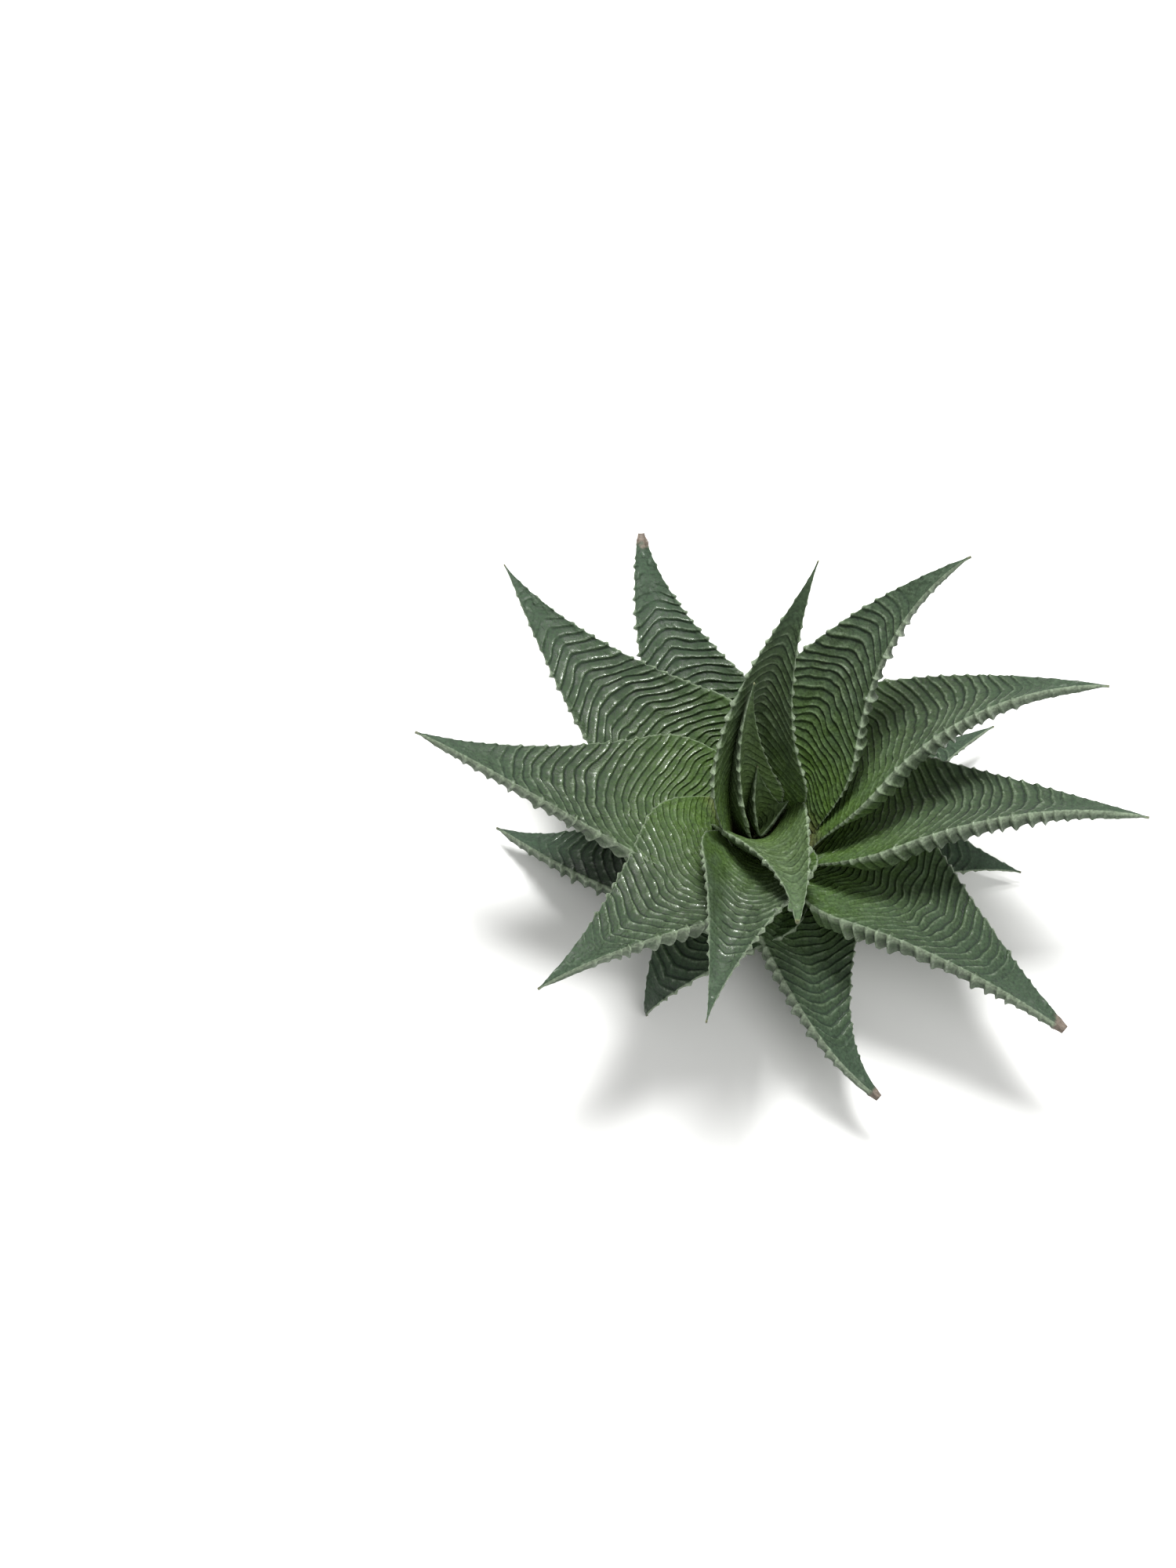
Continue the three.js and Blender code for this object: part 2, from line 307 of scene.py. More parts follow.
    def add_fades(self, tree: bpy.types.NodeTree) -> dict[str, bpy.types.NodeSocket]:
        """Adds the skin's properties and the fades that read them.

        Args:
            tree: the material's node tree.

        Returns:
            An output socket for each property and each fade, by name.
        """
        sockets = {}
        for name in self.ATTRIBUTES:
            sockets[name] = add_node(tree, "ShaderNodeAttribute", attribute_name=name).outputs["Fac"]
        place = add_node(tree, "ShaderNodeTexCoord").outputs["Object"]
        for name, size, detail in (
            ("mottle", self.mottle_mm, self.mottle_detail),
            ("grain", self.grain_mm, self.grain_detail),
        ):
            noise = {"Vector": place, "Scale": 1 / (size * MM), "Detail": detail}
            sockets[name] = add_node(tree, "ShaderNodeTexNoise", noise).outputs["Fac"]
        for name, fade in self.FADES.items():
            span = {"Value": sockets[fade.source], "From Min": fade.start, "From Max": fade.end}
            span |= {"To Min": fade.least, "To Max": fade.most}
            made = add_node(tree, "ShaderNodeMapRange", span, interpolation_type=fade.curve)
            sockets[name] = made.outputs["Result"]
        pale = {0: sockets["under"], 1: sockets["pale_under"]}
        sockets["pale_under"] = add_node(tree, "ShaderNodeMath", pale, operation="MULTIPLY").outputs[0]
        return sockets


@dataclass(frozen=True)
class StemBark:
    """Corky stem skin, dried in the air: dull brown under pale flakes about a millimetre across."""

    dark: str = "#5a4029"
    pale: str = "#b39a78"
    flake_mm: float = 1.2
    flake_detail: float = 5.0
    contrast: Pair = (0.35, 0.65)
    roughness: float = 0.85
    bump: float = 0.6
    bump_mm: float = 0.3

    def build(self) -> bpy.types.Material:
        """Makes the material from noise on Object coordinates.

        Returns:
            The material.
        """
        material, tree, shader = new_material("corky_stem_bark")
        place = add_node(tree, "ShaderNodeTexCoord").outputs["Object"]
        noise = {"Vector": place, "Scale": 1 / (self.flake_mm * MM), "Detail": self.flake_detail}
        flakes = add_node(tree, "ShaderNodeTexNoise", noise).outputs["Fac"]
        span = {"Value": flakes, "From Min": self.contrast[0], "From Max": self.contrast[1]}
        spread = add_node(tree, "ShaderNodeMapRange", span).outputs["Result"]
        layer = {0: spread, 6: linear(self.dark), 7: linear(self.pale)}
        colour = add_node(tree, "ShaderNodeMix", layer, data_type="RGBA").outputs[2]
        tree.links.new(colour, shader.inputs["Base Color"])
        relief = {"Height": flakes, "Strength": self.bump, "Distance": self.bump_mm * MM}
        bump = add_node(tree, "ShaderNodeBump", relief).outputs["Normal"]
        tree.links.new(bump, shader.inputs["Normal"])
        shader.inputs["Roughness"].default_value = self.roughness
        return material


@dataclass(frozen=True)
class Relief:
    """Ridges, teeth and warts of the leaf skin.

    Heights, pitches and lengths are in millimetres. A cell is a pattern's size across the leaf and how many
    times longer it is along it. A pair named for where something starts, grows or fades is in shares of the
    leaf's length, and one named for the margin in shares of the way from the middle to the margin.
    """

    base_pitch: float = 1.15
    middle_pitch: float = 2.2
    pitch_grows: Pair = (0.05, 0.6)
    phases: tuple[float, ...] = (0.0, 0.1, 0.19, 0.28, 0.42, 0.62, 0.86)
    height: Pair = (0.27, 0.43)
    height_grows: Pair = (0.0, 0.45)
    near_margin: Pair = (0.88, 1.0)
    margin_loss: float = 0.6
    fades: Pair = (0.7, 0.92)
    plain: float = 0.85
    plain_height: float = 0.5
    plain_margin: Pair = (0.4, 0.7)

    under_height: float = 0.4
    under_starts: Pair = (0.05, 0.35)
    under_margin: Pair = (0.7, 0.9)
    under_saw: float = 1.25
    under_wart: float = 0.6

    tooth: float = 0.45
    tooth_margin: Pair = (0.93, 1.0)
    tooth_starts: Pair = (0.15, 0.5)
    saw_gain: float = 1.6
    saw_power: float = 1.6
    saw_cell: float = 2.0
    keel_tooth: float = 0.95
    keel_spread: float = 0.07
    keel_starts: Pair = (0.12, 0.4)

    bow: float = 0.42
    bow_of_channel: float = 1.2
    bow_power: float = 1.6
    wave: float = 1.0
    wave_cell: Pair = (4.4, 1.6)
    ripple: float = 0.3
    ripple_cell: Pair = (1.7, 2.0)
    straight_ends: float = 4.0

    bead: float = 0.45
    bead_cell: Pair = (0.8, 1.4)
    wart: float = 0.4
    wart_cell: Pair = (0.9, 1.0)
    wart_contrast: Pair = (1.6, 0.15)
    wart_margin: Pair = (0.82, 0.95)
    margin_warts: float = 0.6
    full_half_width: float = 5.5

    MARKS = 400

    def rows(self, length: float) -> tuple[np.ndarray, np.ndarray]:
        """Spaces the grid's rows so that every ridge has the same few, from crease to crease.

        Args:
            length: the leaf's length.

        Returns:
            Each row's distance from the base, and its place between two creases, from 0 to 1.
        """
        marks = np.linspace(0.0, length, self.MARKS)
        growth = smoothstep(*self.pitch_grows, marks / length)
        pitch = self.base_pitch + (self.middle_pitch - self.base_pitch) * growth
        count = np.concatenate([[0.0], np.cumsum(np.diff(marks) / pitch[1:])])
        ridges = round(count[-1])
        numbers = (np.arange(ridges)[:, None] + np.array(self.phases)[None, :]).ravel()
        numbers = np.append(numbers, ridges)
        return np.interp(numbers * count[-1] / ridges, count, marks), numbers % 1.0

    @staticmethod
    def profile(phase: np.ndarray) -> np.ndarray:
        """Gives a ridge's height from crease to crease: a raised lip near the base side, then a low slope.

        Args:
            phase: shares of the way from one crease to the next, towards the tip.

        Returns:
            The height, from 0 to about 1.
        """
        slope = 1.0 - 0.5 * smoothstep(0.22, 0.5, phase) - 0.35 * smoothstep(0.5, 1.0, phase)
        return smoothstep(0.0, 0.19, phase) * slope * (1.0 - smoothstep(0.8, 1.0, phase))


@dataclass
class Leaf:
    """One leaf: a channelled, tapering blade whose centre line bends through three directions.

    Lengths are in millimetres and angles in degrees. Heading, pitch and channel are given at the base, the
    middle and the tip, and roll at the base and the tip. Channel is the blade's hollow as a share of its
    half width, and base the width at the foot as a share of what its taper would give. Keel is where the
    underside is deepest, from -1 at the right margin to 1 at the left. Seat is the leaf's foot beside the
    stem, for a leaf that clasps the crown from one side. Plain_side is the half of the upper face whose
    ridges are almost smooth, -1 for the right and 1 for the left.
    """

    number: int
    heading: Triple
    pitch: Triple
    length: float
    width: float
    roll: Pair = (0.0, 0.0)
    thick: float = 4.2
    tip: Tip = Tip.POINTED
    channel: Triple = (0.45, 0.18, 0.25)
    base: float = 0.45
    keel: float = 0.0
    seat: Pair | None = None
    plain_side: int = 0

    LEAVES = 20
    STEPS = 240
    LOWEST_SEAT = 5.0
    SEAT_STEP = 0.82
    SEAT_RADIUS = 4.0
    TOP_SEAT_RADIUS = 1.6
    SEAT_RADIUS_STEP = 0.55
    CROWN_LEAN = -2.4
    WIDEST_AT = 0.36
    TAPER = 1.3
    BLUNT_SHARE = 0.93
    LEAST_HALF_WIDTH = 0.15
    EDGE = 0.3
    HOLLOW_POWER = 1.8
    THICKNESS_LOSS = 0.88
    THICKNESS_POWER = 1.2
    DEEPEST_BELLY = 1.1
    BELLY_FALL = 2.2
    KEEL_FALL = 1.6
    KEEL_MOVES = (0.04, 0.3)
    PRONG = 1.4
    PRONG_AT = 0.91
    PRONG_SPREAD = 0.018
    PRONG_MARGIN = (0.3, 1.0)

    @property
    def name(self) -> str:
        """The leaf's node name in the model."""
        return f"leaf_{self.number:02d}"

    @property
    def age(self) -> float:
        """The leaf's age, from 0 for the youngest to 1 for the oldest."""
        return (self.number - 1) / (self.LEAVES - 1)

    def direction(self, u: np.ndarray) -> np.ndarray:
        """Gives the centre line's direction.

        Args:
            u: shares of the length.

        Returns:
            Unit vectors.
        """
        pitch, heading = np.radians(through(self.pitch, u)), np.radians(through(self.heading, u))
        parts = [np.cos(pitch) * np.cos(heading), np.cos(pitch) * np.sin(heading), np.sin(pitch)]
        return np.stack(parts, axis=-1)

    def centre_line(self, u: np.ndarray) -> np.ndarray:
        """Gives points of the centre line, from the leaf's seat, which is higher the younger it is.

        Args:
            u: shares of the length.

        Returns:
            Points.
        """
        index = self.number - 1
        radius = min(self.SEAT_RADIUS, self.TOP_SEAT_RADIUS + self.SEAT_RADIUS_STEP * index)
        azimuth = math.radians(self.heading[0])
        lean = self.CROWN_LEAN * (1 - self.age) ** 2
        foot = self.seat or (lean + radius * math.cos(azimuth), radius * math.sin(azimuth))
        seat = np.array([*foot, self.LOWEST_SEAT + self.SEAT_STEP * (self.LEAVES - self.number)])
        middles = (np.arange(self.STEPS) + 0.5) / self.STEPS
        line = seat + np.cumsum(self.direction(middles), axis=0) * self.length / self.STEPS
        line = np.vstack([seat, line])
        marks = np.linspace(0.0, 1.0, self.STEPS + 1)
        return np.stack([np.interp(u, marks, line[:, axis]) for axis in range(3)], axis=-1)

    def side_and_face(self, u: np.ndarray) -> tuple[np.ndarray, np.ndarray]:
        """Gives the blade's directions after its roll.

        Args:
            u: shares of the length.

        Returns:
            Unit vectors towards the left margin, and out of the upper face.
        """
        heading = np.radians(through(self.heading, u))
        side = np.stack([-np.sin(heading), np.cos(heading), 0 * u], axis=-1)
        face = np.cross(self.direction(u), side)
        roll = np.radians(self.roll[0] + (self.roll[1] - self.roll[0]) * u)[..., None]
        return side * np.cos(roll) + face * np.sin(roll), face * np.cos(roll) - side * np.sin(roll)

    def half_width(self, u: np.ndarray) -> np.ndarray:
        """Gives half the blade's width, which grows from the foot and then tapers to the tip.

        Args:
            u: shares of the length.

        Returns:
            Half the width.
        """
        rise = self.base + (1 - self.base) * smoothstep(0.0, self.WIDEST_AT, u)
        end = 1.0 if self.tip is Tip.POINTED else self.BLUNT_SHARE
        share = rise * (np.clip(1 - end * u, 0, 1) / (1 - self.WIDEST_AT)) ** self.TAPER
        return np.maximum(self.width / 2 * share, self.LEAST_HALF_WIDTH)

    def smooth_form(self, u: np.ndarray, v: np.ndarray, under: np.ndarray) -> np.ndarray:
        """Gives the blade's skin before its ridges.

        Args:
            u: shares of the length, by row and column.
            v: places across, from -1 to 1, by row and column.
            under: 1 on the underside and 0 on the upper face, by row and column.

        Returns:
            Points, by row and column.
        """
        half = self.half_width(u)
        side, face = self.side_and_face(u)
        hollow = half * through(self.channel, u) * np.abs(v) ** self.HOLLOW_POWER
        thickness = self.thick * (1 - self.THICKNESS_LOSS * u**self.THICKNESS_POWER)
        keel = self.keel * smoothstep(*self.KEEL_MOVES, u)
        from_keel = np.abs(v - keel) / np.where(v > keel, 1 - keel, 1 + keel)
        fall = np.where(keel * (v - keel) > 0, self.KEEL_FALL, self.BELLY_FALL)
        belly = np.minimum(thickness, self.DEEPEST_BELLY * half) * (1 - from_keel**fall)
        edge = np.minimum(self.EDGE, half)
        height = np.where(under > 0, hollow - edge - belly, hollow + edge)
        return self.centre_line(u) + side * (half * v)[..., None] + face * height[..., None]

    def prong(self, u: np.ndarray, v: np.ndarray) -> np.ndarray:
        """Gives how far a forked leaf's skin is drawn out into its second, smaller tip at the right margin.

        Args:
            u: shares of the length, by row and column.
            v: places across, from -1 to 1, by row and column.

        Returns:
            Moves, by row and column.
        """
        reach = self.PRONG * np.exp(-(((u - self.PRONG_AT) / self.PRONG_SPREAD) ** 2))
        reach = reach * smoothstep(*self.PRONG_MARGIN, -v)
        side = self.side_and_face(u)[0]
        return (0.9 * self.direction(u) - 0.5 * side) * reach[..., None]

    def build(self, relief: Relief, material: bpy.types.Material) -> bpy.types.Object:
        """Shapes a grid primitive into the leaf, welds its seam and ends, and dresses it.

        Args:
            relief: the sizes of the ridges.
            material: the leaf's finish.

        Returns:
            The finished leaf.
        """
        skin = RidgedSkin(self, relief)
        points = skin.close_points(skin.points())
        rows, columns = points.shape[0] - 1, points.shape[1] - 1
        bpy.ops.object.select_all(action="DESELECT")
        bpy.ops.mesh.primitive_grid_add(x_subdivisions=columns, y_subdivisions=rows, size=2)
        leaf = bpy.context.active_object
        leaf.name = leaf.data.name = f"{self.name}_blade"
        mesh = leaf.data
        flat = np.empty(len(mesh.vertices) * 3, dtype=np.float32)
        mesh.vertices.foreach_get("co", flat)
        flat = flat.reshape(-1, 3)
        column = np.rint((flat[:, 0] + 1) / 2 * columns).astype(int)
        row = np.rint((flat[:, 1] + 1) / 2 * rows).astype(int)
        mesh.vertices.foreach_set("co", (points[row, column] * MM).astype(np.float32).ravel())
        for name, shares in skin.attributes().items():
            layer = mesh.attributes.new(name, "FLOAT", "POINT")
            layer.data.foreach_set("value", skin.close_shares(shares)[row, column].astype(np.float32))
        mesh.update()
        bpy.ops.object.mode_set(mode="EDIT")
        bpy.ops.mesh.select_all(action="SELECT")
        bpy.ops.mesh.remove_doubles(threshold=1e-7)
        bpy.ops.mesh.normals_make_consistent(inside=False)
        bpy.ops.object.mode_set(mode="OBJECT")
        bpy.ops.object.shade_smooth()
        mesh.materials.append(material)
        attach(leaf, ROOT_BODY)
        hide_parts(self.name)
        return leaf


class RidgedSkin:
    """One leaf's ridged skin, as a grid that wraps round the blade with its rows along the ridges.

    Its arrays go by row and column. In millimetres: level, the distance from the base before the ridges
    bend, place, the same once they bend, and x, the distance from the centre line. As shares: u, the place
    along the leaf; v, the place across, from -1 to 1; edge, the place from the middle to a margin; under, 1
    below and 0 above; and phase, the place between two creases. Ridge, bead, wart and saw are the heights
    of those patterns, fade is what is left of the ridges near the tip, and slim what a narrow blade leaves
    of any height.
    """

    COLUMN_STEP = 0.45
    UNDER_COLUMN_STEP = 0.75
    FEWEST_COLUMNS = 16
    FEWEST_UNDER_COLUMNS = 12
    CROWDING = 1.1
    DRIED_FROM = (0.94, 0.98)
    DRIED_WAVE = 0.012
    RIM = (0.985, 1.0)

    def __init__(self, leaf: Leaf, relief: Relief) -> None:
        """Lays the grid over the leaf, with more columns near the margins, and reads its patterns.

        Args:
            leaf: the leaf.
            relief: the sizes of its ridges.
        """
        self.leaf, self.relief = leaf, relief
        self.noise = {pattern: SmoothNoise(10 * leaf.number + pattern.value) for pattern in Pattern}
        upper = max(self.FEWEST_COLUMNS, round(leaf.width / self.COLUMN_STEP)) + 1
        lower = max(self.FEWEST_UNDER_COLUMNS, round(leaf.width / self.UNDER_COLUMN_STEP)) + 1
        spread = np.concatenate([np.linspace(-1, 1, upper), np.linspace(1, -1, lower)])
        v = (np.sin(spread * self.CROWDING) / math.sin(self.CROWDING))[None, :]
        under = np.repeat([0.0, 1.0], [upper, lower])[None, :]
        level, phase = relief.rows(leaf.length)
        self.level, self.phase = level[:, None], phase[:, None]
        half = leaf.half_width(self.level / leaf.length)
        self.x, self.edge = v * half, np.abs(v) + 0 * self.level
        self.place = self.bend_rows(half)
        self.u = self.place / leaf.length
        self.v, self.under = v + 0 * self.u, under + 0 * self.u
        self.read_patterns()

    def read(self, pattern: Pattern, cell: Pair, along: np.ndarray) -> np.ndarray:
        """Reads one of the leaf's random patterns.

        Args:
            pattern: which one.
            cell: its size across the leaf, and how many times longer it is along it.
            along: distances along the leaf.

        Returns:
            The pattern, from -1 to 1.
        """
        return self.noise[pattern](self.x / cell[0], along / (cell[1] * cell[0]))

    def bend_rows(self, half: np.ndarray) -> np.ndarray:
        """Bends the ridges back at the margins, more on a hollow blade, and lets them wave and ripple.

        Args:
            half: half the blade's width, by row.

        Returns:
            Each point's distance from the base.
        """
        relief, level, length = self.relief, self.level, self.leaf.length
        hollow = 1 + relief.bow_of_channel * self.leaf.channel[1]
        bend = relief.bow * hollow * half * self.edge**relief.bow_power
        bend = bend + relief.wave * self.read(Pattern.WAVES, relief.wave_cell, level)
        bend = bend + relief.ripple * self.read(Pattern.RIPPLES, relief.ripple_cell, level)
        slack = smoothstep(0.0, relief.straight_ends, level)
        slack = slack * smoothstep(0.0, relief.straight_ends, length - level)
        return np.clip(level - bend * slack, 0.0, length)

    def read_patterns(self) -> None:
        """Works out the ridges, beads, warts and saw teeth as shares of their full heights."""
        relief, u = self.relief, self.u
        self.ridge = relief.profile(self.phase) + 0 * u
        if self.leaf.plain_side:
            plain = relief.plain * (1 - self.under)
            plain = plain * smoothstep(*relief.plain_margin, self.leaf.plain_side * self.v)
            self.ridge = self.ridge + plain * (relief.plain_height - self.ridge)
        self.bead = 1.0 + relief.bead * self.read(Pattern.BEADS, relief.bead_cell, self.level)
        self.fade = 1.0 - smoothstep(*relief.fades, u)
        contrast, threshold = relief.wart_contrast
        warts = self.read(Pattern.WARTS, relief.wart_cell, self.place)
        self.wart = np.clip(warts * contrast - threshold, 0.0, 1.0)
        beside = relief.margin_warts * smoothstep(*relief.wart_margin, self.edge)
        self.wart_share = np.maximum(1.0 - self.fade, beside)
        self.slim = np.minimum(1.0, self.leaf.half_width(u) / relief.full_half_width)
        slope = np.minimum(1.0, relief.saw_gain * (1.0 - self.phase) ** relief.saw_power)
        self.saw = slope * (0.7 + 0.5 * self.noise[Pattern.BEADS](self.level / relief.saw_cell, 0 * self.x))

    def upper_height(self) -> np.ndarray:
        """Gives how far the ridges and warts of the upper face stand out, in millimetres.

        Returns:
            Heights, by row and column.
        """
        relief = self.relief
        least, most = relief.height
        height = least + (most - least) * smoothstep(*relief.height_grows, self.u)
        margin = 1 - relief.margin_loss * smoothstep(*relief.near_margin, self.edge)
        ridges = height * self.slim * self.ridge * self.bead * self.fade * margin
        return ridges + relief.wart * self.slim**0.5 * self.wart * self.wart_share

    def lower_height(self) -> np.ndarray:
        """Gives how far the ridges of the underside stand out, with their saw teeth at the margin and keel.

        Returns:
            Heights, by row and column.
        """
        relief, u = self.relief, self.u
        height = relief.under_height * self.slim**0.7 * self.ridge
        height = height * (0.7 + 0.3 * self.bead) * (0.35 + 0.65 * self.fade)
        sawn = smoothstep(*relief.under_margin, self.edge) * (1 - relief.under_saw * self.saw)
        height = height * smoothstep(*relief.under_starts, u) * (1 - sawn)
        height = height + relief.under_wart * relief.wart * self.slim**0.5 * self.wart * (1 - self.fade)
        if self.leaf.keel:
            on_keel = np.exp(-(((self.v - self.leaf.keel) / relief.keel_spread) ** 2))
            on_keel = on_keel * smoothstep(*relief.keel_starts, u)
            teeth = relief.keel_tooth * self.slim * self.ridge * self.saw * on_keel
            height = height * (1 - 0.5 * on_keel) + teeth
        return height

    def tooth_height(self) -> np.ndarray:
        """Gives how far the teeth of the margins stand out, in millimetres.

        Returns:
            Heights, by row and column.
        """
        relief = self.relief
        teeth = relief.tooth * self.slim**0.7 * self.ridge * self.saw
        teeth = teeth * smoothstep(*relief.tooth_margin, self.edge)
        return teeth * smoothstep(*relief.tooth_starts, self.u)

    def points(self) -> np.ndarray:
        """Raises the ridges, warts and teeth out of the leaf's smooth form, and draws out a forked tip.

        Returns:
            Points, by row and column.
        """
        form = self.leaf.smooth_form(self.u, self.v, self.under)
        along_step = np.gradient(form, axis=0)
        across_step = np.roll(form, -1, axis=1) - np.roll(form, 1, axis=1)
        normal = np.cross(along_step, across_step)
        normal /= np.linalg.norm(normal, axis=-1, keepdims=True) + 1e-9
        height = np.where(self.under > 0, self.lower_height(), self.upper_height()) + self.tooth_height()
        points = form + normal * height[..., None]
        if self.leaf.tip is Tip.FORKED:
            points = points + self.leaf.prong(self.u, self.v)
        return points

    def attributes(self) -> dict[str, np.ndarray]:
        """Gives the properties of the skin that its finish reads.

        Returns:
            Shares from 0 to 1, by row and column, for each property's name.
        """
        # The crest share also steers the painted shade in the creases and the paler ridge tops, which are
        # partly wax bloom and partly a painted highlight.
        ridge, fade = self.ridge, self.fade
        above = np.maximum(ridge * fade * self.bead, self.wart * self.wart_share)
        crest = np.where(self.under > 0, ridge * self.bead, above)
        crest = crest * (0.5 + 0.5 * fade) + 0.35 * (1 - fade)
        dry = 0 * self.u
        if self.leaf.tip is Tip.DRIED:
            wave = self.DRIED_WAVE * self.noise[Pattern.WAVES](self.x, self.place)
            dry = smoothstep(*self.DRIED_FROM, self.u + wave)
        return {
            "along": self.u,
            "crest": np.clip(crest, 0.0, 1.0),
            "under": self.under,
            "margin": smoothstep(*self.RIM, self.edge),
            "dry": dry,
            "age": 0 * self.u + self.leaf.age,
        }

    @staticmethod
    def close_points(points: np.ndarray) -> np.ndarray:
        """Wraps the grid round and draws both ends into a point.

        Args:
            points: points, by row and column.

        Returns:
            The same with one more row at each end, and one more column, equal to the first.
        """
        first = np.repeat(points[:1].mean(axis=1, keepdims=True), points.shape[1], axis=1)
        last = np.repeat(points[-1:].mean(axis=1, keepdims=True), points.shape[1], axis=1)
        closed = np.concatenate([first, points, last], axis=0)
        return np.concatenate([closed, closed[:, :1]], axis=1)

    @staticmethod
    def close_shares(shares: np.ndarray) -> np.ndarray:
        """Gives a property the grid's added rows and column.

        Args:
            shares: the property, by row and column.

        Returns:
            The same with its first and last row and its first column repeated.
        """
        tall = np.concatenate([shares[:1], shares, shares[-1:]], axis=0)
        return np.concatenate([tall, tall[:, :1]], axis=1)


LEAVES = [
    Leaf(1, (10, 18, 30), (62, 52, 40), 11, 6, (0, 0), 1.6, channel=(0.5, 0.45, 0.3), seat=(-4, -0.5)),
    Leaf(2, (110, 100, 90), (84, 78, 76), 20, 7, (35, 25), 2, channel=(1.1, 0.9, 0.6), seat=(-3.8, 0.5)),
    Leaf(3, (100, 88, 66), (84, 72, 66), 43, 10, (48, 30), 3, channel=(1.2, 1.0, 0.6), seat=(-7, 0.5)),
    Leaf(4, (290, 286, 265), (74, 44, 14), 45, 15, (0, 0), 3.2, Tip.FORKED, (0.8, 0.5, 0.3), 0.65,
         seat=(-3.5, -3)),
    Leaf(5, (90, 60, 60), (76, 62, 50), 70, 18, (48, 5), 4, channel=(1.1, 0.95, 0.3), seat=(-8.2, 1.5)),
    Leaf(6, (262, 254, 257), (58, 32, 2), 63, 22, channel=(0.6, 0.4, 0.25), base=0.2, seat=(-2.6, -4),
         plain_side=-1),
    Leaf(7, (65, 47, 16), (62, 42, 29), 74, 24, (0, -12), keel=-0.92, seat=(-0.6, 2.8)),
    Leaf(8, (229, 223, 216), (52, 22, -8), 68, 31, (0, 22), 4.8, keel=0.92),
    Leaf(9, (42, 14, -7), (50, 26, 8), 77, 27, (-10, -36), 4.8, keel=-0.92),
    Leaf(10, (182, 171, 160), (43, 20, 8), 76, 30, (0, 28), 4.8, keel=0.92),
    Leaf(11, (3, -4, -15), (40, 18, 5), 76, 27, (-10, -42), 4.8, keel=-0.92),
    Leaf(12, (149, 138, 121), (38, 18, 10), 77, 30),
    Leaf(13, (330, 319, 320), (32, 8, -6), 71, 29, (-10, -38), 4.8, Tip.DRIED, base=0.25, keel=-0.92),
    Leaf(14, (118, 117, 93), (32, 14, 10), 68, 24, tip=Tip.DRIED),
    Leaf(15, (289, 283, 320), (25, 0, -14), 57, 20, (-10, -35), tip=Tip.DRIED, base=0.3, keel=-0.92),
    Leaf(16, (70, 70, 70), (20, -8, -24), 52, 22),
    Leaf(17, (240, 229, 228), (20, 0, -92), 47, 28, (0, 25)),
    Leaf(18, (31, 33, 33), (15, -3, -14), 52, 17, (0, -25)),
    Leaf(19, (190, 173, 146), (18, -5, -14), 56, 28, (0, 32), 4.8, keel=0.92),
    Leaf(20, (6, -4, -12), (14, -4, -14), 48, 22, (0, -6)),
]


